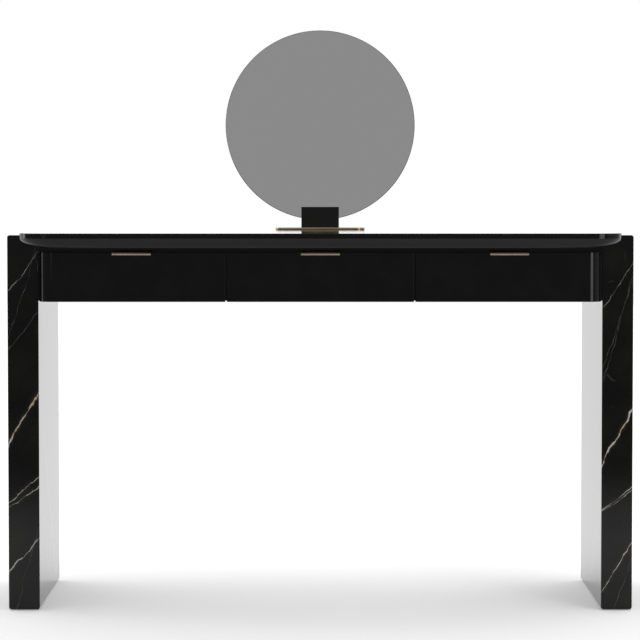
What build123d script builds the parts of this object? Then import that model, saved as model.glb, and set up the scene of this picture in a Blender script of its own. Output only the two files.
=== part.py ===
"""Vanity table: stone-clad panel legs, a lacquered top, three drawers and a round table mirror.

Millimetres, +Z up. The origin is on the floor in the middle of the table, and the drawers open towards -Y.
"""

import os
from math import asin, cos, radians, sin

from build123d import *

os.makedirs("parts", exist_ok=True)

# ---- Driving dimensions -------------------------------------------------------------------------
TABLE_W = 1300.0  # over the outer faces of the legs
FIT = 0.05  # radial clearance of a screw or pin in its hole
EASE = 0.5  # eased edges of metal and plastic pieces

LEG_T = 64.5
LEG_D = 450.0
LEG_TOP = 783.0
STONE_T = 18.0  # mitred stone panels around a plywood core
STONE_FOOT_R = 5.0  # rounded lower corners of a leg
ARRIS = 0.8

GLIDE_H = 2.0
GLIDE_R = 12.0
GLIDE_PIN_R = 2.5
GLIDE_PIN_L = 18.0
GLIDE_Y = 175.0

TOP_W = 1242.0
TOP_D = 640.0
TOP_T = 30.0
TOP_Z = 788.0
TOP_R = 60.0  # corner radius in plan
EDGE_BAND = 10.5  # upright part of the edge, above the undercut
END_IN = 44.0  # at the ends the undercut is a quarter of an ellipse, this wide
UNDERCUT_STEEP = 15.0  # along the front and back it is an arc between these angles from upright
UNDERCUT_FLAT = 52.0
UNDERCUT_SECTIONS = 6
SEAT_GAP = 0.3  # the top's ends sit this clear of the hollows in the legs

BOARD_T = 16.0
CASE_Z = 647.0
CASE_FRONT = -224.0
CASE_BACK = 222.0
RAIL_D = 60.0
RAIL_H = 18.0
RAIL_SETBACK = 2.0

FRONT_W = 386.7
FRONT_GAP = 3.0
FRONT_T = 30.0
FRONT_Z = 645.5
FRONT_H = 103.0
FRONT_R = 29.0  # outer corners of the row of drawer fronts
FRONT_EASE = 1.0

BOX_Z = 667.0
BOX_H = 68.0
BOX_L = 400.0
BOX_SIDE_T = 12.0
BOX_SIDE_EASE = 1.5
BOX_FLOOR_T = 6.0
BOX_FLOOR_UP = 6.0  # the floor sits this far above the lower edge of the sides
GROOVE = 6.0
GROOVE_GAP = 0.1

RUNNER_T = 12.7
RUNNER_L = 390.0
RUNNER_MIDDLE_L = 370.0
RUNNER_STEEL = 1.2
# Each member's web, the reach of its flanges, both measured out from the case wall, and half its height.
RUNNER_OUTER = (0.0, 9.5, 17.5)
RUNNER_MIDDLE = (2.4, 10.5, 15.2)
RUNNER_INNER = (RUNNER_T, 5.5, 12.8)

PULL_W = 80.0
PULL_T = 2.5
PULL_REACH = 15.0  # from the drawer front to the face of the lip
PULL_DROP = 8.3  # height of the lip
PULL_BEND_R = 6.5
PULL_SEAT = 23.0  # length of the plate that lies on the drawer front
PULL_SCREW_X = 25.0
PULL_SCREW_IN = 9.0  # from the back edge of the plate

BOLT_R = 4.0
BOLT_L = 56.0
BOLT_HEAD_R = 6.5
BOLT_HEAD_H = 5.0
BOLT_Y = 150.0
BOLT_IN = 10.0  # from the case's floor and from its rails
SCREW_R = 2.5
SCREW_L = 34.0
SCREW_HEAD_R = 4.5
SMALL_SCREW_R = 1.75
SMALL_SCREW_L = 16.0
SMALL_HEAD_R = 3.3
SOCKET_R = 0.7  # a hexagon socket's size, as a share of the shank's radius
SOCKET_DEEP = 0.7  # and its depth, as a share of the head's height
CASE_SCREW_Y = (-190.0, 0.0, 170.0)
TOP_SCREW_X = (-480.0, -240.0, 240.0, 480.0)

PAD_T = 0.6
PAD_IN = 3.0  # the pad stops this far inside the plate's edge
PLATE_W = 199.0
PLATE_D = 110.0
PLATE_T = 3.6
PLATE_R = 18.0
STAND_Y = 252.0
BLOCK_W = 84.0
BLOCK_D = 40.0
BLOCK_H = 46.0
BLOCK_EASE = 0.8
STAND_SCREW_L = 15.6
STAND_SCREW_X = 24.0
STAND_SCREW_FRONT = 14.0  # in front of the disc
MIRROR_R = 211.5
GLASS_T = 5.0
GLASS_BEVEL = 1.2
BACKING_T = 6.0
BACKING_IN = 1.5  # the backing disc is this much smaller in radius
MIRROR_SINK = 29.0  # how deep the disc stands in the block
SLOT_GAP = 0.3

# ---- Worked out from them -----------------------------------------------------------------------
SIDES = {"left": -1, "right": 1}
OUTER_X = TABLE_W / 2
INNER_X = OUTER_X - LEG_T
CORE_X = OUTER_X - LEG_T / 2
TOP_UNDER = TOP_Z - TOP_T
EDGE_Z = TOP_Z - EDGE_BAND  # where the undercut starts
EDGE_DROP = TOP_T - EDGE_BAND
END_X = TOP_W / 2 - END_IN  # the middle of the end's ellipse

CASE_IN_X = INNER_X - BOARD_T
CASE_FLOOR = CASE_Z + BOARD_T
BAY_W = (2 * CASE_IN_X - 2 * BOARD_T) / 3
BAY_PITCH = BAY_W + BOARD_T
RAIL_Z = TOP_UNDER - RAIL_H
FRONT_RAIL_Y = CASE_FRONT + RAIL_SETBACK
BACK_RAIL_Y = CASE_BACK - BOARD_T

FRONT_PITCH = FRONT_W + FRONT_GAP
FRONT_BACK = -LEG_D / 2
FACE_Y = FRONT_BACK - FRONT_T
FRONT_TOP = FRONT_Z + FRONT_H
BOX_W = BAY_W - 2 * RUNNER_T
BOX_END = FRONT_BACK + BOX_L
FLOOR_Z = BOX_Z + BOX_FLOOR_UP
RUNNER_Z = BOX_Z + BOX_H / 2
DRAWERS = {"left": -1, "centre": 0, "right": 1}

PLATE_Z = TOP_Z + PAD_T
BLOCK_Z = PLATE_Z + PLATE_T
MIRROR_Z = BLOCK_Z + BLOCK_H - MIRROR_SINK + MIRROR_R
GLASS_Y = STAND_Y - (GLASS_T + BACKING_T) / 2

# Fasteners point along their own -Z, so each list of places gives the screw and its hole alike.
INTO_SIDE = {-1: (0, 90, 0), 1: (0, -90, 0)}
UPWARDS = (180, 0, 0)
BOLT_PLACES = {
    side: [
        Location((side * CASE_IN_X, y, z), INTO_SIDE[side])
        for y in (-BOLT_Y, BOLT_Y)
        for z in (CASE_FLOOR + BOLT_IN, RAIL_Z - BOLT_IN)
    ]
    for side in SIDES.values()
}
SIDE_SCREW_PLACES = {
    side: [Location((side * INNER_X, y, CASE_Z + BOARD_T / 2), INTO_SIDE[-side]) for y in CASE_SCREW_Y]
    for side in SIDES.values()
}
DIVIDER_X = BAY_W / 2 + BOARD_T / 2
DIVIDER_SCREW_PLACES = {
    side: [Location((side * DIVIDER_X, y, CASE_Z), UPWARDS) for y in CASE_SCREW_Y]
    for side in SIDES.values()
}
TOP_SCREW_PLACES = [
    Location((x, y, RAIL_Z), UPWARDS)
    for x in TOP_SCREW_X
    for y in (FRONT_RAIL_Y + RAIL_D / 2, BACK_RAIL_Y - RAIL_D / 2)
]
GLIDE_PLACES = [
    Location((side * CORE_X, y, GLIDE_H), UPWARDS) for side in SIDES.values() for y in (-GLIDE_Y, GLIDE_Y)
]
STAND_SCREW_PLACES = [
    Location((x, STAND_Y - STAND_SCREW_FRONT, PLATE_Z), UPWARDS) for x in (-STAND_SCREW_X, STAND_SCREW_X)
]


def finish(piece, name):
    """Label a finished piece and write it."""
    piece.part.label = name
    export_step(piece.part, f"parts/{name}.step")


def board(corner, opposite, mode=Mode.ADD):
    """A square-edged board between two opposite corners, in the open part; with Mode.SUBTRACT, a cut."""
    middle = (Vector(*corner) + Vector(*opposite)) * 0.5
    with Locations(middle):
        Box(*[abs(b - a) for a, b in zip(corner, opposite)], mode=mode)


# ---- Fasteners ----------------------------------------------------------------------------------
def countersunk_screw(radius, length, head_r):
    """A flat-headed screw with a hexagon socket, its head's face at the origin."""
    head_h = head_r - radius
    with BuildPart() as screw:
        Cylinder(radius, length, align=(Align.CENTER, Align.CENTER, Align.MAX))
        Cone(radius, head_r, head_h, align=(Align.CENTER, Align.CENTER, Align.MAX))
        with BuildSketch():
            RegularPolygon(radius * SOCKET_R, 6)
        extrude(amount=-head_h * SOCKET_DEEP, mode=Mode.SUBTRACT)
    return screw.part


def cap_bolt(radius, length, head_r, head_h):
    """A low-headed socket bolt, the underside of its head at the origin."""
    with BuildPart() as bolt:
        Cylinder(radius, length, align=(Align.CENTER, Align.CENTER, Align.MAX))
        Cylinder(head_r, head_h, align=(Align.CENTER, Align.CENTER, Align.MIN))
        chamfer(bolt.faces().sort_by(Axis.Z)[-1].edges(), EASE)
        with BuildSketch(Plane.XY.offset(head_h)):
            RegularPolygon(radius * SOCKET_R, 6)
        extrude(amount=-head_h * SOCKET_DEEP, mode=Mode.SUBTRACT)
    return bolt.part


def fastener_group(name, fastener, places):
    """Copies of one fastener, as separate solids of one node."""
    with BuildPart() as group:
        with Locations(*places):
            add(fastener)
    finish(group, name)


def floor_glides():
    """Four round glides, each with a pin up into its leg's core."""
    with BuildPart() as glides:
        with Locations(*GLIDE_PLACES):
            Cylinder(GLIDE_PIN_R, GLIDE_PIN_L, align=(Align.CENTER, Align.CENTER, Align.MAX))
            Cylinder(GLIDE_R, GLIDE_H, align=(Align.CENTER, Align.CENTER, Align.MIN))
        chamfer(glides.faces().group_by(Axis.Z)[0].edges(), EASE)
    finish(glides, "floor_glides")


# ---- Legs ---------------------------------------------------------------------------------------
def leg_block(side):
    """The outer shape of a leg, with the hollow that takes the end of the top, and its holes."""
    with BuildPart() as block:
        with BuildSketch(Plane.XZ) as outline:
            with Locations((side * CORE_X, (GLIDE_H + LEG_TOP) / 2)):
                Rectangle(LEG_T, LEG_TOP - GLIDE_H)
            fillet(outline.vertices().group_by(Axis.Z)[0], STONE_FOOT_R)
        extrude(amount=LEG_D / 2, both=True)
        end_edges = block.faces().filter_by(Axis.Y).edges()
        top_edges = block.faces().sort_by(Axis.Z)[-1].edges().filter_by(Axis.Y)
        fillet(end_edges + top_edges, ARRIS)
        with BuildSketch(Plane.XZ):
            with Locations((side * END_X, EDGE_Z)):
                Ellipse(END_IN + SEAT_GAP, EDGE_DROP + SEAT_GAP)
            with Locations((side * END_X, EDGE_Z + TOP_T / 2)):
                Rectangle(2 * (END_IN + SEAT_GAP), TOP_T)
        extrude(amount=LEG_D, both=True, mode=Mode.SUBTRACT)
        with Locations(*BOLT_PLACES[side]):
            Hole(BOLT_R + FIT, BOLT_L)
        with Locations(*[place for place in GLIDE_PLACES if place.position.X * side > 0]):
            Hole(GLIDE_PIN_R + FIT, GLIDE_PIN_L)
    return block.part


def leg(name, side):
    """Five mitred stone panels around a core; each panel is the block's share within 45 degree planes."""
    block = leg_block(side)
    run = LEG_TOP + STONE_T  # the upright mitres run on below the foot, where the block ends
    middle = (LEG_TOP - STONE_T) / 2
    faces = {
        "outer": (Plane((side * OUTER_X, 0, middle), (0, 1, 0), (-side, 0, 0)), LEG_D, run),
        "inner": (Plane((side * INNER_X, 0, middle), (0, 1, 0), (side, 0, 0)), LEG_D, run),
        "front": (Plane((side * CORE_X, -LEG_D / 2, middle), (1, 0, 0), (0, 1, 0)), LEG_T, run),
        "back": (Plane((side * CORE_X, LEG_D / 2, middle), (1, 0, 0), (0, -1, 0)), LEG_T, run),
        "top": (Plane((side * CORE_X, 0, LEG_TOP), (1, 0, 0), (0, 0, -1)), LEG_T, LEG_D),
    }
    for face, (plane, width, height) in faces.items():
        with BuildPart() as panel:
            add(block)
            with BuildSketch(plane):
                Rectangle(width, height)
            extrude(amount=STONE_T, taper=45, mode=Mode.INTERSECT)
        finish(panel, f"{name}_leg_{face}_stone")
    with BuildPart() as core:
        add(block)
        with Locations((side * CORE_X, 0, LEG_TOP - STONE_T)):
            Box(
                LEG_T - 2 * STONE_T,
                LEG_D - 2 * STONE_T,
                LEG_TOP,
                align=(Align.CENTER, Align.CENTER, Align.MAX),
                mode=Mode.INTERSECT,
            )
    finish(core, f"{name}_leg_core")


# ---- Top ----------------------------------------------------------------------------------------
def undercut_in(turn):
    """How far the undercut has run in at the ends and along the front, at a turn of 0 to 90 degrees."""
    arc_r = EDGE_DROP / (sin(radians(UNDERCUT_FLAT)) - sin(radians(UNDERCUT_STEEP)))
    steepness = asin(sin(radians(UNDERCUT_STEEP)) + EDGE_DROP * sin(turn) / arc_r)
    return END_IN * (1 - cos(turn)), arc_r * (cos(radians(UNDERCUT_STEEP)) - cos(steepness))


def table_top():
    """A slab with an upright band round its edge and an undercut that runs further in at the ends."""
    with BuildPart() as top:
        with BuildSketch(Plane.XY.offset(TOP_Z)):
            RectangleRounded(TOP_W, TOP_D, TOP_R)
        extrude(amount=-EDGE_BAND)
        chamfer(top.faces().sort_by(Axis.Z)[-1].edges(), ARRIS)
        for section in range(UNDERCUT_SECTIONS):
            turn = radians(90) * section / (UNDERCUT_SECTIONS - 1)
            end_in, front_in = undercut_in(turn)
            with BuildSketch(Plane.XY.offset(EDGE_Z - EDGE_DROP * sin(turn))):
                RectangleRounded(TOP_W - 2 * end_in, TOP_D - 2 * front_in, TOP_R - (end_in + front_in) / 2)
        loft()
        split(bisect_by=Plane.XY.offset(TOP_UNDER), keep=Keep.TOP)
        with Locations(*TOP_SCREW_PLACES):
            Hole(SCREW_R + FIT, SCREW_L)
    finish(top, "table_top")


# ---- Case ---------------------------------------------------------------------------------------
def case_side(name, side):
    with BuildPart() as panel:
        board((side * INNER_X, CASE_FRONT, CASE_Z), (side * CASE_IN_X, CASE_BACK, TOP_UNDER))
        with Locations(*BOLT_PLACES[side]):
            Hole(BOLT_R + FIT, BOARD_T)
        with Locations(*SIDE_SCREW_PLACES[side]):
            CounterSinkHole(SCREW_R + FIT, SCREW_HEAD_R + FIT, BOARD_T, 90)
    finish(panel, f"case_side_{name}")


def case_divider(name, side):
    """An upright between two bays, notched at its upper corners for the rails."""
    x0, x1 = side * BAY_W / 2, side * (BAY_W / 2 + BOARD_T)
    with BuildPart() as panel:
        board((x0, CASE_FRONT, CASE_FLOOR), (x1, BACK_RAIL_Y, TOP_UNDER))
        board((x0, CASE_FRONT, RAIL_Z), (x1, FRONT_RAIL_Y + RAIL_D, TOP_UNDER), Mode.SUBTRACT)
        board((x0, BACK_RAIL_Y - RAIL_D, RAIL_Z), (x1, BACK_RAIL_Y, TOP_UNDER), Mode.SUBTRACT)
        with Locations(*DIVIDER_SCREW_PLACES[side]):
            Hole(SCREW_R + FIT, SCREW_L)
    finish(panel, f"case_divider_{name}")


def case_bottom():
    with BuildPart() as panel:
        board((-CASE_IN_X, CASE_FRONT, CASE_Z), (CASE_IN_X, BACK_RAIL_Y, CASE_FLOOR))
        for side in SIDES.values():
            with Locations(*SIDE_SCREW_PLACES[side]):
                Hole(SCREW_R + FIT, SCREW_L)
            with Locations(*DIVIDER_SCREW_PLACES[side]):
                CounterSinkHole(SCREW_R + FIT, SCREW_HEAD_R + FIT, BOARD_T, 90)
    finish(panel, "case_bottom")


def case_back():
    with BuildPart() as panel:
        board((-CASE_IN_X, BACK_RAIL_Y, CASE_Z), (CASE_IN_X, CASE_BACK, TOP_UNDER))
    finish(panel, "case_back")


def case_rail(name, y):
    with BuildPart() as rail:
        board((-CASE_IN_X, y, RAIL_Z), (CASE_IN_X, y + RAIL_D, TOP_UNDER))
        with Locations(*[place for place in TOP_SCREW_PLACES if y < place.position.Y < y + RAIL_D]):
            CounterSinkHole(SCREW_R + FIT, SCREW_HEAD_R + FIT, RAIL_H, 90)
    finish(rail, f"case_{name}_rail")


# ---- Runners ------------------------------------------------------------------------------------
def channel(wall_x, side, web, reach, half_h):
    """A channel's section in the open sketch: a web, and flanges from it towards the other members."""
    steel = RUNNER_STEEL if reach > web else -RUNNER_STEEL
    with Locations((wall_x - side * (web + steel / 2), RUNNER_Z)):
        Rectangle(RUNNER_STEEL, 2 * half_h)
    flange_x = wall_x - side * (web + reach) / 2
    flange_up = half_h - RUNNER_STEEL / 2
    with Locations((flange_x, RUNNER_Z - flange_up), (flange_x, RUNNER_Z + flange_up)):
        Rectangle(abs(reach - web), RUNNER_STEEL)


def runner_members(name, bays, section, length):
    """The same member of the runners on both sides of the given bays."""
    with BuildPart() as members:
        for bay in bays:
            for side in SIDES.values():
                with BuildSketch(Plane.XZ.offset(-(CASE_FRONT + length))):
                    channel(bay * BAY_PITCH + side * BAY_W / 2, side, *section)
                extrude(amount=length)
    finish(members, name)


# ---- Drawers ------------------------------------------------------------------------------------
def drawer_front(name, place):
    """A thick lacquered front; the outer ones are rounded in plan at their outer end."""
    centre = place * FRONT_PITCH
    box_x = place * BAY_PITCH
    with BuildPart() as front:
        with BuildSketch(Plane.XY.offset(FRONT_Z)) as plan:
            with Locations((centre, FRONT_BACK - FRONT_T / 2)):
                Rectangle(FRONT_W, FRONT_T)
            if place:
                corners = plan.vertices().group_by(Axis.Y)[0].sort_by_distance((0, FACE_Y, 0))
                fillet(corners[-1], FRONT_R)
        extrude(amount=FRONT_H)
        back_edges = front.faces().sort_by(Axis.Y)[-1].edges()
        rims = front.faces().filter_by(Axis.Z).edges() - back_edges
        uprights = front.edges().filter_by(Axis.Z).group_by(Axis.Y)[0]
        square = uprights.sort_by_distance((0, FACE_Y, FRONT_Z))[: 1 if place else 2]
        fillet(rims + square, FRONT_EASE)
        groove_x = BOX_W / 2 - BOX_SIDE_T + GROOVE
        groove_top = FLOOR_Z + BOX_FLOOR_T + GROOVE_GAP
        board(
            (box_x - groove_x, FRONT_BACK - GROOVE, FLOOR_Z),
            (box_x + groove_x, FRONT_BACK, groove_top),
            Mode.SUBTRACT,
        )
        with Locations(*pull_screw_places(place)):
            Hole(SMALL_SCREW_R + FIT, SMALL_SCREW_L)
    finish(front, f"drawer_{name}_front")


def drawer_box(name, place):
    """Two sides, a back and a floor that slides in grooves."""
    box_x = place * BAY_PITCH
    inner = BOX_W / 2 - BOX_SIDE_T
    for side_name, side in SIDES.items():
        with BuildPart() as panel:
            board(
                (box_x + side * inner, FRONT_BACK, BOX_Z),
                (box_x + side * BOX_W / 2, BOX_END, BOX_Z + BOX_H),
            )
            board(
                (box_x + side * inner, FRONT_BACK, FLOOR_Z),
                (box_x + side * (inner + GROOVE), BOX_END, FLOOR_Z + BOX_FLOOR_T + GROOVE_GAP),
                Mode.SUBTRACT,
            )
            fillet(panel.faces().sort_by(Axis.Z)[-1].edges().filter_by(Axis.Y), BOX_SIDE_EASE)
        finish(panel, f"drawer_{name}_side_{side_name}")
    with BuildPart() as back:
        board(
            (box_x - inner, BOX_END - BOX_SIDE_T, FLOOR_Z + BOX_FLOOR_T + GROOVE_GAP),
            (box_x + inner, BOX_END, BOX_Z + BOX_H),
        )
    finish(back, f"drawer_{name}_back")
    with BuildPart() as floor:
        board(
            (box_x - inner - GROOVE, FRONT_BACK - GROOVE, FLOOR_Z),
            (box_x + inner + GROOVE, BOX_END, FLOOR_Z + BOX_FLOOR_T),
        )
    finish(floor, f"drawer_{name}_floor")


def pull_screw_places(place):
    """Where the two screws of a pull go down into the drawer front."""
    y = FACE_Y + PULL_SEAT - PULL_SCREW_IN
    z = FRONT_TOP + PULL_T
    return [Location((place * FRONT_PITCH + x, y, z)) for x in (-PULL_SCREW_X, PULL_SCREW_X)]


def drawer_pull(name, place):
    """A bent plate: one leg lies on the drawer front, and the lip hangs down in front of it."""
    centre = place * FRONT_PITCH
    seat_y = FACE_Y + PULL_SEAT
    lip_y = FACE_Y - PULL_REACH
    top = FRONT_TOP + PULL_T
    with BuildPart() as pull:
        with BuildSketch(Plane.YZ.offset(centre)):
            with BuildLine():
                Polyline(
                    (seat_y, FRONT_TOP),
                    (seat_y, top),
                    (lip_y, top),
                    (lip_y, top - PULL_DROP),
                    (lip_y + PULL_T, top - PULL_DROP),
                    (lip_y + PULL_T, FRONT_TOP),
                    close=True,
                )
            make_face()
        extrude(amount=PULL_W / 2, both=True)
        bends = pull.edges().filter_by(Axis.X)
        outer_bend = bends.sort_by_distance((centre, lip_y, top))[0]
        inner_bend = bends.sort_by_distance((centre, lip_y + PULL_T, FRONT_TOP))[0]
        fillet(outer_bend, PULL_BEND_R)
        fillet(inner_bend, PULL_BEND_R - PULL_T)
        fillet(pull.edges().group_by(Axis.Z)[0], EASE)
        with Locations(*pull_screw_places(place)):
            CounterSinkHole(SMALL_SCREW_R + FIT, SMALL_HEAD_R + FIT, PULL_T, 90)
    finish(pull, f"drawer_{name}_pull")


# ---- Table mirror -------------------------------------------------------------------------------
def mirror_base():
    """A brass plate on a thin felt pad."""
    with BuildPart() as pad:
        with BuildSketch(Plane.XY.offset(TOP_Z)):
            with Locations((0, STAND_Y)):
                RectangleRounded(PLATE_W - 2 * PAD_IN, PLATE_D - 2 * PAD_IN, PLATE_R - PAD_IN)
        extrude(amount=PAD_T)
    finish(pad, "mirror_base_pad")
    with BuildPart() as plate:
        with BuildSketch(Plane.XY.offset(PLATE_Z)):
            with Locations((0, STAND_Y)):
                RectangleRounded(PLATE_W, PLATE_D, PLATE_R)
        extrude(amount=PLATE_T)
        fillet(plate.faces().sort_by(Axis.Z)[-1].edges(), EASE)
        with Locations(*STAND_SCREW_PLACES):
            CounterSinkHole(SCREW_R + FIT, SCREW_HEAD_R + FIT, PLATE_T, 90)
    finish(plate, "mirror_base_plate")


def mirror_block():
    """The block that stands on the plate and grips the foot of the disc in a slot across its top."""
    slot_w = GLASS_T + BACKING_T + 2 * SLOT_GAP
    with BuildPart() as block:
        with Locations((0, STAND_Y, BLOCK_Z)):
            Box(BLOCK_W, BLOCK_D, BLOCK_H, align=(Align.CENTER, Align.CENTER, Align.MIN))
        fillet(block.edges() - block.faces().sort_by(Axis.Z)[0].edges(), BLOCK_EASE)
        with Locations((0, STAND_Y, MIRROR_Z - MIRROR_R)):
            Box(
                BLOCK_W,
                slot_w,
                BLOCK_H,
                align=(Align.CENTER, Align.CENTER, Align.MIN),
                mode=Mode.SUBTRACT,
            )
        with Locations(*STAND_SCREW_PLACES):
            Hole(SCREW_R + FIT, STAND_SCREW_L)
    finish(block, "mirror_holder_block")


def mirror_disc():
    """The glass stands in front of a thin black backing disc."""
    with BuildPart() as glass:
        with BuildSketch(Plane.XZ.offset(-(GLASS_Y + GLASS_T))):
            with Locations((0, MIRROR_Z)):
                Circle(MIRROR_R)
        extrude(amount=GLASS_T)
        chamfer(glass.faces().sort_by(Axis.Y)[0].edges(), GLASS_BEVEL)
    finish(glass, "mirror_glass")
    with BuildPart() as backing:
        with BuildSketch(Plane.XZ.offset(-(GLASS_Y + GLASS_T + BACKING_T))):
            with Locations((0, MIRROR_Z)):
                Circle(MIRROR_R - BACKING_IN)
        extrude(amount=BACKING_T)
        fillet(backing.faces().sort_by(Axis.Y)[-1].edges(), EASE)
    finish(backing, "mirror_backing")


# ---- Assembly -----------------------------------------------------------------------------------
for leg_name, leg_side in SIDES.items():
    leg(leg_name, leg_side)
    case_side(leg_name, leg_side)
    case_divider(leg_name, leg_side)
floor_glides()
table_top()
case_bottom()
case_back()
case_rail("front", FRONT_RAIL_Y)
case_rail("back", BACK_RAIL_Y - RAIL_D)

leg_bolt = cap_bolt(BOLT_R, BOLT_L, BOLT_HEAD_R, BOLT_HEAD_H)
fastener_group("leg_bolts", leg_bolt, BOLT_PLACES[-1] + BOLT_PLACES[1])
case_screw = countersunk_screw(SCREW_R, SCREW_L, SCREW_HEAD_R)
case_screw_places = [
    place
    for group in (SIDE_SCREW_PLACES, DIVIDER_SCREW_PLACES)
    for side_places in group.values()
    for place in side_places
]
fastener_group("case_screws", case_screw, case_screw_places)
fastener_group("top_screws", case_screw, TOP_SCREW_PLACES)

pull_screw = countersunk_screw(SMALL_SCREW_R, SMALL_SCREW_L, SMALL_HEAD_R)
runner_members("runner_outer_members", DRAWERS.values(), RUNNER_OUTER, RUNNER_L)
for drawer_name, drawer_place in DRAWERS.items():
    drawer_front(drawer_name, drawer_place)
    drawer_box(drawer_name, drawer_place)
    drawer_pull(drawer_name, drawer_place)
    fastener_group(f"drawer_{drawer_name}_pull_screws", pull_screw, pull_screw_places(drawer_place))
    runner_members(f"runner_{drawer_name}_middle_members", [drawer_place], RUNNER_MIDDLE, RUNNER_MIDDLE_L)
    runner_members(f"runner_{drawer_name}_inner_members", [drawer_place], RUNNER_INNER, RUNNER_L)

mirror_base()
mirror_block()
mirror_disc()
stand_screw = countersunk_screw(SCREW_R, STAND_SCREW_L, SCREW_HEAD_R)
fastener_group("mirror_stand_screws", stand_screw, STAND_SCREW_PLACES)
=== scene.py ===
"""Looks of the vanity table: black marble legs, a gloss black top and drawers, and a round mirror."""

import math

import bpy
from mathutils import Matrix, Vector


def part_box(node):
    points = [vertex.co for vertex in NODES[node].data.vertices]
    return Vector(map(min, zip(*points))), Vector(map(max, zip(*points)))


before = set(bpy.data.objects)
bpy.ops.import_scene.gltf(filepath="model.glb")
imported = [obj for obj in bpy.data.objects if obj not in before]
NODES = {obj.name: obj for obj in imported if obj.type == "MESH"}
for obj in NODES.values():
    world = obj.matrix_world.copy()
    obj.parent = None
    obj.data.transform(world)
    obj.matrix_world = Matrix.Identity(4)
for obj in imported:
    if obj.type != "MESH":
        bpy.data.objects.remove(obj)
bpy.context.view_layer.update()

# ---- Places and sizes, in metres ----------------------------------------------------------------
CAMERA_AT = (-0.008, -6.070, 0.884)
CAMERA_TILT = math.radians(-2.715)
CAMERA_ROLL = math.radians(-0.07)
LENS_MM = 158.45
FLOOR_SIZE = 30.0
PLY_T = 0.0015

# ---- Light --------------------------------------------------------------------------------------
WHITE_ROOM = 1.22  # radiance of the backdrop and of the ceiling
DARK_ROOM = 0.275  # and of the room on the camera's side
RIGHT_ROOM = 0.5  # the right-hand wall
FLOOR_LIGHT = 0.17  # what the floor gives off by itself in front of the table
SWEEP_LIGHT = 0.36  # and behind it
# Painted shade: the floor far in front of the table is coloured this dark grey to stand for the dim room
# there.
FAR_FLOOR_PAINTED_SHADE = 0.22  # how pale the paper still is far in front of the table


# ---- Node helpers -------------------------------------------------------------------------------
class Nodes:
    """Short calls for building a node tree. A value may be a number, a tuple or another node's output."""

    def __init__(self, tree):
        self.tree = tree

    def add(self, kind, inputs=None, **settings):
        node = self.tree.nodes.new(kind)
        for name, value in settings.items():
            setattr(node, name, value)
        for key, value in (inputs or {}).items():
            self.put(node.inputs[key], value)
        return node

    def put(self, socket, value):
        if isinstance(value, bpy.types.NodeSocket):
            self.tree.links.new(value, socket)
        else:
            socket.default_value = value

    def math(self, operation, *values, clamp=False):
        node = self.add("ShaderNodeMath", operation=operation, use_clamp=clamp)
        for socket, value in zip(node.inputs, values):
            self.put(socket, value)
        return node.outputs[0]

    def vector(self, operation, *values):
        node = self.add("ShaderNodeVectorMath", operation=operation)
        for socket, value in zip(node.inputs, values):
            self.put(socket, value)
        return node.outputs["Value" if operation == "DOT_PRODUCT" else "Vector"]

    def scaled(self, place, factors):
        return self.vector("MULTIPLY", place, factors)

    def noise(self, place, scale, detail=3.0, rough=0.5, distortion=0.0, output="Fac"):
        inputs = {"Vector": place, "Scale": scale, "Detail": detail}
        inputs.update({"Roughness": rough, "Distortion": distortion})
        return self.add("ShaderNodeTexNoise", inputs).outputs[output]

    def cells(self, place, scale, feature="F1", output="Distance"):
        inputs = {"Vector": place, "Scale": scale}
        return self.add("ShaderNodeTexVoronoi", inputs, feature=feature).outputs[output]

    def ramp(self, value, low, high, to_low=0.0, to_high=1.0):
        """value from low..high to to_low..to_high, eased at both ends."""
        inputs = {"Value": value, "From Min": low, "From Max": high, "To Min": to_low, "To Max": to_high}
        return self.add("ShaderNodeMapRange", inputs, interpolation_type="SMOOTHSTEP").outputs["Result"]

    def mix(self, share, first, second):
        node = self.add("ShaderNodeMix", data_type="RGBA")
        self.put(node.inputs[0], share)
        self.put(node.inputs[6], first)
        self.put(node.inputs[7], second)
        return node.outputs[2]

    def bump(self, height, strength, distance):
        inputs = {"Height": height, "Strength": strength, "Distance": distance}
        return self.add("ShaderNodeBump", inputs).outputs["Normal"]

    def place(self):
        """The point in the row frame, in metres, because every object sits at the origin."""
        return self.add("ShaderNodeTexCoord").outputs["Object"]


def material(name, **fixed):
    """A new material with a Principled shader; fixed values are set on the shader's own sockets."""
    made = bpy.data.materials.new(name)
    made.use_nodes = True
    nodes = Nodes(made.node_tree)
    shader = made.node_tree.nodes["Principled BSDF"]
    for key, value in fixed.items():
        nodes.put(shader.inputs[key.replace("_", " ")], value)
    return made, nodes, shader


def grey(value, warmth=0.0):
    return (value, value * (1 - warmth / 2), value * (1 - warmth), 1.0)


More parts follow.
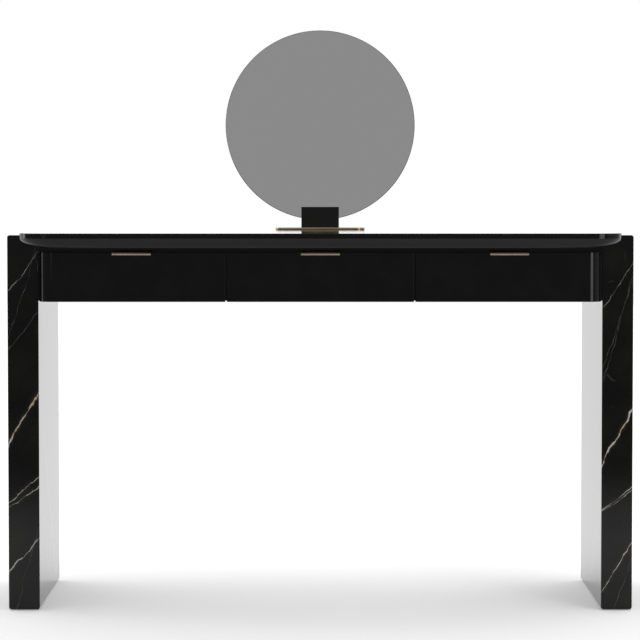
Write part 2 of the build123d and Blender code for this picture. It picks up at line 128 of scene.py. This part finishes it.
# ---- Marble -------------------------------------------------------------------------------------
# Each vein is a sheet through a leg's block. Its height where it meets the middle of the front face, its rise
# to the right and to the back, its half width, its strength from 0 to 1 and how golden it is.
LEFT_VEINS = (
    (0.705, 1.22, -0.95, 0.0007, 0.55, 0.1),
    (0.667, 3.30, -1.10, 0.0005, 0.16, 0.2),
    (0.582, 1.31, -1.05, 0.0005, 0.16, 0.2),
    (0.404, 1.95, -1.20, 0.0019, 1.00, 0.9),
    (0.245, 0.80, -0.90, 0.0009, 0.85, 0.4),
    (0.232, 0.65, -0.90, 0.0008, 0.75, 0.6),
    (0.111, 1.21, -1.30, 0.0010, 0.75, 0.6),
    (0.061, 3.75, -1.10, 0.0005, 0.20, 0.3),
    (1.020, 1.30, -1.10, 0.0012, 0.85, 0.7),
    (1.180, 1.10, -0.90, 0.0009, 0.60, 0.3),
)
RIGHT_VEINS = (
    (0.678, 1.46, -1.00, 0.0007, 0.50, 0.1),
    (0.597, 2.80, -1.05, 0.0005, 0.18, 0.2),
    (0.588, 3.40, -1.15, 0.0005, 0.16, 0.2),
    (0.3635, 2.00, -1.20, 0.0018, 1.00, 1.0),
    (0.2335, 0.74, -0.95, 0.0008, 0.80, 0.4),
    (0.228, 0.65, -0.95, 0.0007, 0.60, 0.5),
    (0.087, 1.40, -1.25, 0.0011, 0.85, 0.6),
    (0.0125, 3.00, -1.10, 0.0005, 0.20, 0.3),
    (0.935, 1.40, -1.05, 0.0012, 0.85, 0.8),
    (1.110, 1.20, -1.15, 0.0009, 0.65, 0.4),
)
VEIN_WANDER = 0.013
VEIN_JITTER = 0.0045
FRONT_FACE_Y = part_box("left_leg_front_stone")[0].y


def marble(name, middle_x, veins, dullest=0.085):
    made, n, shader = material(name, IOR=1.33)
    place = n.place()
    wander = n.vector("SUBTRACT", n.noise(place, 7.0, 2.0, output="Color"), (0.5, 0.5, 0.5))
    jitter = n.vector("SUBTRACT", n.noise(place, 46.0, 3.0, 0.6, output="Color"), (0.5, 0.5, 0.5))
    warped = n.vector("ADD", place, n.scaled(wander, (VEIN_WANDER * 2,) * 3))
    warped = n.vector("ADD", warped, n.scaled(jitter, (VEIN_JITTER * 2,) * 3))
    swell = n.ramp(n.noise(place, 34.0, 4.0, 0.7), 0.36, 0.66, 0.18, 1.35)
    light, glow, gold = 0.0, 0.0, 0.0
    for height, rise_right, rise_back, half, strength, golden in veins:
        normal = Vector((-rise_right, -rise_back, 1.0)).normalized()
        foot = Vector((middle_x, FRONT_FACE_Y, height))
        off = n.math("SUBTRACT", n.vector("DOT_PRODUCT", warped, normal), foot.dot(normal))
        off = n.math("ABSOLUTE", off)
        width = n.math("MULTIPLY", swell, half)
        line = n.math("SUBTRACT", 1.0, n.math("DIVIDE", off, width), clamp=True)
        line = n.math("MULTIPLY", n.math("POWER", line, 0.6), strength)
        halo = n.math("MULTIPLY", n.ramp(off, 0.0, 0.011, 1.0, 0.0), strength)
        light = n.math("MAXIMUM", light, line)
        glow = n.math("MAXIMUM", glow, halo)
        gold = n.math("MAXIMUM", gold, n.math("MULTIPLY", halo, golden))
    # A web of hairlines, drawn out along the veins and broken up.
    drawn = {"Vector": warped, "Rotation": (0.75, -0.95, 0.3), "Scale": (1.0, 1.0, 0.34)}
    web = n.cells(n.add("ShaderNodeMapping", drawn).outputs[0], 15.0, "DISTANCE_TO_EDGE")
    hairline = n.ramp(web, 0.0, 0.016, 1.0, 0.0)
    patches = n.ramp(n.noise(place, 9.0, 3.0, 0.6), 0.57, 0.72)
    hairline = n.math("MULTIPLY", n.math("MULTIPLY", hairline, patches), 0.12)
    light = n.math("MAXIMUM", light, hairline)
    fleck = n.ramp(n.noise(place, 260.0, 2.0, 0.5), 0.70, 0.82, 0.0, 0.03)
    light = n.math("MAXIMUM", light, fleck)
    cloud = n.ramp(n.noise(place, 12.0, 5.0, 0.62), 0.35, 0.75)
    stone = n.mix(cloud, (0.0020, 0.0020, 0.0018, 1.0), (0.0060, 0.0058, 0.0051, 1.0))
    smoke = n.ramp(n.noise(place, 60.0, 4.0, 0.7), 0.4, 0.7, 0.1, 0.75)
    smoky = n.math("MULTIPLY", n.math("POWER", glow, 3.0), smoke)
    stone = n.mix(smoky, stone, (0.040, 0.034, 0.024, 1.0))
    tint = n.math("MULTIPLY", gold, n.ramp(n.noise(place, 28.0, 3.0, 0.6), 0.38, 0.62), clamp=True)
    calcite = n.mix(tint, (0.52, 0.51, 0.48, 1.0), (0.46, 0.345, 0.195, 1.0))
    n.put(shader.inputs["Base Color"], n.mix(light, stone, calcite))
    polish = n.ramp(n.noise(place, 5.0, 4.0, 0.6), 0.3, 0.7, dullest / 2, dullest)
    n.put(shader.inputs["Roughness"], n.math("ADD", polish, n.math("MULTIPLY", light, 0.16)))
    pits = n.math("SUBTRACT", n.noise(place, 420.0, 3.0, 0.6), n.math("MULTIPLY", light, 0.8))
    n.put(shader.inputs["Normal"], n.bump(pits, 0.05, 0.0004))
    return made


# ---- Lacquer, wood and board --------------------------------------------------------------------
def lacquer(name):
    """Polished black lacquer: a trace of orange peel, dust in the film and rubbing marks in the gloss."""
    made, n, shader = material(name, IOR=1.33)
    place = n.place()
    film = n.ramp(n.noise(place, 22.0, 4.0, 0.6), 0.3, 0.75)
    tone = n.mix(film, (0.0016, 0.0015, 0.0015, 1.0), (0.0034, 0.0033, 0.0031, 1.0))
    n.put(shader.inputs["Base Color"], tone)
    rub = n.noise(n.scaled(place, (1.0, 3.0, 3.0)), 14.0, 5.0, 0.65)
    n.put(shader.inputs["Roughness"], n.ramp(rub, 0.3, 0.75, 0.055, 0.08))
    peel = n.math("ADD", n.noise(place, 190.0, 1.0), n.math("MULTIPLY", n.noise(place, 900.0, 2.0), 0.25))
    n.put(shader.inputs["Normal"], n.bump(peel, 0.045, 0.0006))
    return made


def wood(name, along, dark, pale, gloss=0.42):
    """Straight grain along one axis: growth bands, pores and a satin finish."""
    made, n, shader = material(name, IOR=1.45)
    place = n.place()
    stretch = [1.0, 1.0, 1.0]
    stretch["XYZ".index(along)] = 0.07
    drawn = n.scaled(place, stretch)
    bend = n.scaled(n.noise(drawn, 9.0, 2.0, output="Color"), (0.05,) * 3)
    grain_place = n.vector("ADD", drawn, bend)
    bands = n.noise(grain_place, 75.0, 5.0, 0.62, 0.6)
    figure = n.noise(grain_place, 16.0, 3.0, 0.5)
    tone = n.math("ADD", n.math("MULTIPLY", bands, 0.6), n.math("MULTIPLY", figure, 0.4))
    colour = n.mix(n.ramp(tone, 0.36, 0.64), dark, pale)
    pores = n.ramp(n.noise(n.scaled(drawn, (1.0, 1.0, 1.0)), 700.0, 2.0, 0.5), 0.60, 0.70)
    darker = tuple(0.45 * channel for channel in dark[:3]) + (1.0,)
    n.put(shader.inputs["Base Color"], n.mix(n.math("MULTIPLY", pores, 0.7), colour, darker))
    n.put(shader.inputs["Roughness"], n.ramp(bands, 0.3, 0.7, gloss - 0.06, gloss + 0.08))
    height = n.math("SUBTRACT", bands, pores)
    n.put(shader.inputs["Normal"], n.bump(height, 0.18, 0.0006))
    return made


def plywood(name):
    """Birch plies edge on: thin layers across the leg, each with its own tone."""
    made, n, shader = material(name, IOR=1.45)
    place = n.place()
    across = n.add("ShaderNodeSeparateXYZ", {"Vector": place}).outputs[0]
    ply = n.math("FLOOR", n.math("DIVIDE", across, PLY_T))
    odd = n.math("ABSOLUTE", n.math("MODULO", ply, 2.0))
    fibre = n.noise(n.scaled(place, (1.0, 0.2, 1.0)), 320.0, 4.0, 0.6)
    tone = n.math("ADD", n.math("MULTIPLY", odd, 0.55), n.math("MULTIPLY", fibre, 0.5))
    n.put(shader.inputs["Base Color"], n.mix(tone, (0.62, 0.47, 0.31, 1.0), (0.36, 0.23, 0.13, 1.0)))
    n.put(shader.inputs["Roughness"], n.ramp(fibre, 0.3, 0.7, 0.6, 0.8))
    n.put(shader.inputs["Normal"], n.bump(fibre, 0.3, 0.0004))
    return made


def back_board(name):
    """Matt black paint over fine-grained board."""
    made, n, shader = material(name, IOR=1.45)
    place = n.place()
    grain = n.noise(place, 520.0, 4.0, 0.6)
    tone = n.mix(n.noise(place, 30.0), (0.010, 0.010, 0.010, 1.0), (0.018, 0.018, 0.017, 1.0))
    n.put(shader.inputs["Base Color"], tone)
    n.put(shader.inputs["Roughness"], n.ramp(grain, 0.3, 0.7, 0.5, 0.66))
    n.put(shader.inputs["Normal"], n.bump(grain, 0.2, 0.0003))
    return made


# ---- Metals -------------------------------------------------------------------------------------
def brushed(name, along, dull, bright, rough_low, rough_high, lines=1400.0, depth=0.12):
    """Metal brushed along one axis, with faint handling marks in its sheen."""
    made, n, shader = material(name, Metallic=1.0)
    place = n.place()
    stretch = [1.0, 1.0, 1.0]
    stretch["XYZ".index(along)] = 0.012
    strokes = n.noise(n.scaled(place, stretch), lines, 3.0, 0.6)
    handled = n.noise(place, 60.0, 4.0, 0.6)
    n.put(shader.inputs["Base Color"], n.mix(n.ramp(strokes, 0.3, 0.7), dull, bright))
    sheen = n.math("ADD", n.math("MULTIPLY", strokes, 0.7), n.math("MULTIPLY", handled, 0.3))
    n.put(shader.inputs["Roughness"], n.ramp(sheen, 0.35, 0.65, rough_low, rough_high))
    n.put(shader.inputs["Normal"], n.bump(strokes, depth, 0.00008))
    return made


def zinc(name, dull, bright, roughness):
    """Plated pressed steel: fine crystal mottling and a drawn finish."""
    made, n, shader = material(name, Metallic=1.0)
    place = n.place()
    mottle = n.cells(place, 900.0, "F1", "Color")
    tone = n.math("ADD", n.math("MULTIPLY", mottle, 0.5), n.math("MULTIPLY", n.noise(place, 70.0, 4.0), 0.5))
    n.put(shader.inputs["Base Color"], n.mix(tone, dull, bright))
    n.put(shader.inputs["Roughness"], n.ramp(tone, 0.2, 0.8, roughness - 0.07, roughness + 0.07))
    n.put(shader.inputs["Normal"], n.bump(n.noise(place, 1500.0, 2.0), 0.06, 0.00006))
    return made


def satin_black_metal(name):
    made, n, shader = material(name, IOR=1.42)
    place = n.place()
    powder = n.noise(place, 1300.0, 3.0, 0.6)
    tone = n.mix(n.noise(place, 40.0), (0.0020, 0.0020, 0.0020, 1.0), (0.0042, 0.0042, 0.0040, 1.0))
    n.put(shader.inputs["Base Color"], tone)
    n.put(shader.inputs["Roughness"], n.ramp(powder, 0.3, 0.7, 0.30, 0.42))
    n.put(shader.inputs["Normal"], n.bump(powder, 0.10, 0.0001))
    return made


# ---- Mirror, felt and plastic -------------------------------------------------------------------
def mirror(name):
    """Silvered glass. Its faces are mirrors with a breath of haze; its ground edge is dark green glass."""
    made, n, shader = material(name)
    normal = n.add("ShaderNodeTexCoord").outputs["Normal"]
    facing = n.math("ABSOLUTE", n.add("ShaderNodeSeparateXYZ", {"Vector": normal}).outputs[1])
    silver = n.ramp(facing, 0.97, 0.995)
    place = n.place()
    haze = n.ramp(n.noise(place, 18.0, 5.0, 0.6), 0.45, 0.8, 0.0, 0.012)
    n.put(shader.inputs["Base Color"], n.mix(silver, (0.05, 0.075, 0.065, 1.0), (0.925, 0.925, 0.925, 1.0)))
    n.put(shader.inputs["Metallic"], n.math("ADD", n.math("MULTIPLY", silver, 0.6), 0.4))
    ground = n.math("MULTIPLY", n.math("SUBTRACT", 1.0, silver), 0.16)
    n.put(shader.inputs["Roughness"], n.math("ADD", haze, ground))
    return made


def felt(name):
    made, n, shader = material(name, Roughness=0.95)
    place = n.place()
    fibre = n.noise(place, 2200.0, 5.0, 0.8, 1.5)
    n.put(shader.inputs["Base Color"], n.mix(fibre, (0.012, 0.012, 0.012, 1.0), (0.05, 0.05, 0.05, 1.0)))
    n.put(shader.inputs["Normal"], n.bump(fibre, 0.8, 0.0004))
    return made


def nylon(name):
    made, n, shader = material(name, IOR=1.5)
    place = n.place()
    grain = n.noise(place, 800.0, 3.0)
    n.put(shader.inputs["Base Color"], n.mix(grain, (0.035, 0.035, 0.035, 1.0), (0.055, 0.055, 0.055, 1.0)))
    n.put(shader.inputs["Roughness"], n.ramp(grain, 0.3, 0.7, 0.45, 0.6))
    n.put(shader.inputs["Normal"], n.bump(grain, 0.15, 0.0001))
    return made


# ---- Finishes on the CAD nodes ------------------------------------------------------------------
def leg_middle(side):
    low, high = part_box(f"{side}_leg_front_stone")
    return (low.x + high.x) / 2


def finish_nodes():
    stone = {
        "left": marble("marble_left", leg_middle("left"), LEFT_VEINS),
        "right": marble("marble_right", leg_middle("right"), RIGHT_VEINS),
        "left_inner": marble("marble_left_inner", leg_middle("left"), LEFT_VEINS, 0.04),
        "right_inner": marble("marble_right_inner", leg_middle("right"), RIGHT_VEINS, 0.04),
    }
    walnut_dark, walnut_pale = (0.085, 0.040, 0.020, 1.0), (0.235, 0.125, 0.065, 1.0)
    brass_dull, brass_bright = (0.60, 0.49, 0.38, 1.0), (0.84, 0.72, 0.585, 1.0)
    bronze_dull, bronze_bright = (0.42, 0.31, 0.20, 1.0), (0.66, 0.52, 0.38, 1.0)
    steel_dull, steel_bright = (0.52, 0.53, 0.55, 1.0), (0.74, 0.75, 0.77, 1.0)
    rules = (
        (("left_leg_core", "right_leg_core"), plywood("birch_plywood")),
        (("floor_glides",), nylon("black_nylon")),
        (("_pull_screws", "leg_bolts"), zinc("black_oxide", grey(0.05), grey(0.10), 0.42)),
        (("_screws", "_members"), zinc("zinc_plate", steel_dull, steel_bright, 0.34)),
        (("_pull",), brushed("champagne_brass", "X", brass_dull, brass_bright, 0.15, 0.25)),
        (("mirror_base_plate",), brushed("bronze", "X", bronze_dull, bronze_bright, 0.28, 0.40)),
        (("mirror_glass",), mirror("silvered_glass")),
        (("mirror_backing",), back_board("black_board")),
        (("mirror_holder_block",), satin_black_metal("satin_black")),
        (("mirror_base_pad",), felt("black_felt")),
        (("_side_left", "_side_right"), wood("walnut_along", "Y", walnut_dark, walnut_pale)),
        (("_back", "_floor"), wood("walnut_across", "X", walnut_dark, walnut_pale)),
    )
    gloss = lacquer("black_lacquer")
    for name, node in NODES.items():
        if name.endswith("_stone"):
            side = name.split("_")[0]
            made = stone[side + "_inner" if "_inner_" in name else side]
        elif name.startswith(("case_side", "case_back")):
            made = gloss
        else:
            made = next((m for ends, m in rules if name.endswith(ends)), gloss)
        node.data.materials.clear()
        node.data.materials.append(made)


# ---- Studio -------------------------------------------------------------------------------------
def studio_floor():
    bpy.ops.mesh.primitive_plane_add(size=FLOOR_SIZE, location=(0.0, 0.0, 0.0))
    floor = bpy.context.object
    floor.name = "studio_floor"
    made, n, shader = material("studio_white", Roughness=0.9)
    paper = n.noise(n.place(), 3.0)
    depth = n.add("ShaderNodeSeparateXYZ", {"Vector": n.place()}).outputs[1]
    # Painted shade: far in front of the table the floor's colour fades to dark grey, standing for the dim
    # room there, where only the polished faces mirror it.
    clear_of_painted_shade = n.ramp(depth, -3.2, -1.3)
    white = n.mix(paper, (0.84, 0.84, 0.84, 1.0), (0.86, 0.86, 0.86, 1.0))
    n.put(shader.inputs["Base Color"], n.mix(clear_of_painted_shade, grey(FAR_FLOOR_PAINTED_SHADE), white))
    n.put(shader.inputs["Specular IOR Level"], 0.1)
    # It gives off some light, more behind the table, so that it runs into the white of the backdrop.
    glow = n.ramp(depth, -0.5, 0.7, FLOOR_LIGHT, SWEEP_LIGHT)
    n.put(shader.inputs["Emission Color"], (1.0, 1.0, 1.0, 1.0))
    n.put(shader.inputs["Emission Strength"], n.math("MULTIPLY", glow, clear_of_painted_shade))
    floor.data.materials.append(made)


def studio_room():
    """A white room, dark low down on the camera's side. The lens itself sees only white."""
    world = bpy.data.worlds.new("studio")
    bpy.context.scene.world = world
    world.use_nodes = True
    n = Nodes(world.node_tree)
    towards = n.add("ShaderNodeTexCoord").outputs["Generated"]
    parts = n.add("ShaderNodeSeparateXYZ", {"Vector": towards})
    behind = n.ramp(parts.outputs[1], 0.08, 0.34)
    above = n.ramp(parts.outputs[2], 0.55, 0.8)
    bright = n.math("MAXIMUM", behind, above)
    wall = n.mix(n.ramp(parts.outputs[0], 0.75, 0.93), grey(WHITE_ROOM), grey(RIGHT_ROOM))
    room = n.mix(bright, grey(DARK_ROOM), wall)
    seen = n.add("ShaderNodeLightPath").outputs["Is Camera Ray"]
    background = world.node_tree.nodes["Background"]
    n.put(background.inputs["Color"], n.mix(seen, room, grey(1.0)))


def softbox(name, azimuth, distance, height, size, radiance, aim=(0.0, 0.0, 0.5)):
    """A flat lamp; azimuth runs from the camera's side, towards +X. The lens doesn't see it."""
    turn = math.radians(azimuth)
    place = Vector((distance * math.sin(turn), -distance * math.cos(turn), height))
    lamp = bpy.data.lights.new(name, "AREA")
    lamp.shape = "RECTANGLE"
    lamp.size, lamp.size_y = size
    lamp.energy = radiance * math.pi * size[0] * size[1]
    holder = bpy.data.objects.new(name, lamp)
    holder.location = place
    holder.rotation_euler = (Vector(aim) - place).to_track_quat("-Z", "Y").to_euler()
    holder.visible_camera = False
    bpy.context.scene.collection.objects.link(holder)


def studio_lamps():
    softbox("box_right", 38.0, 3.4, 1.3, (1.1, 2.2), 3.0)
    softbox("side_left", -100.0, 3.4, 1.0, (0.8, 1.8), 2.4)
    softbox("side_right", 76.0, 3.4, 1.0, (2.2, 2.2), 0.25)
    softbox("fill_left", -21.0, 4.5, 1.4, (1.0, 1.6), 0.4)


def studio_camera():
    lens = bpy.data.cameras.new("photo_view")
    lens.lens = LENS_MM
    lens.clip_end = 200.0
    camera = bpy.data.objects.new("photo_view", lens)
    camera.location = CAMERA_AT
    camera.rotation_euler = (math.radians(90.0) + CAMERA_TILT, 0.0, CAMERA_ROLL)
    bpy.context.scene.collection.objects.link(camera)
    bpy.context.scene.camera = camera


finish_nodes()
studio_floor()
studio_room()
studio_lamps()
studio_camera()
bpy.context.scene.view_settings.view_transform = "Standard"
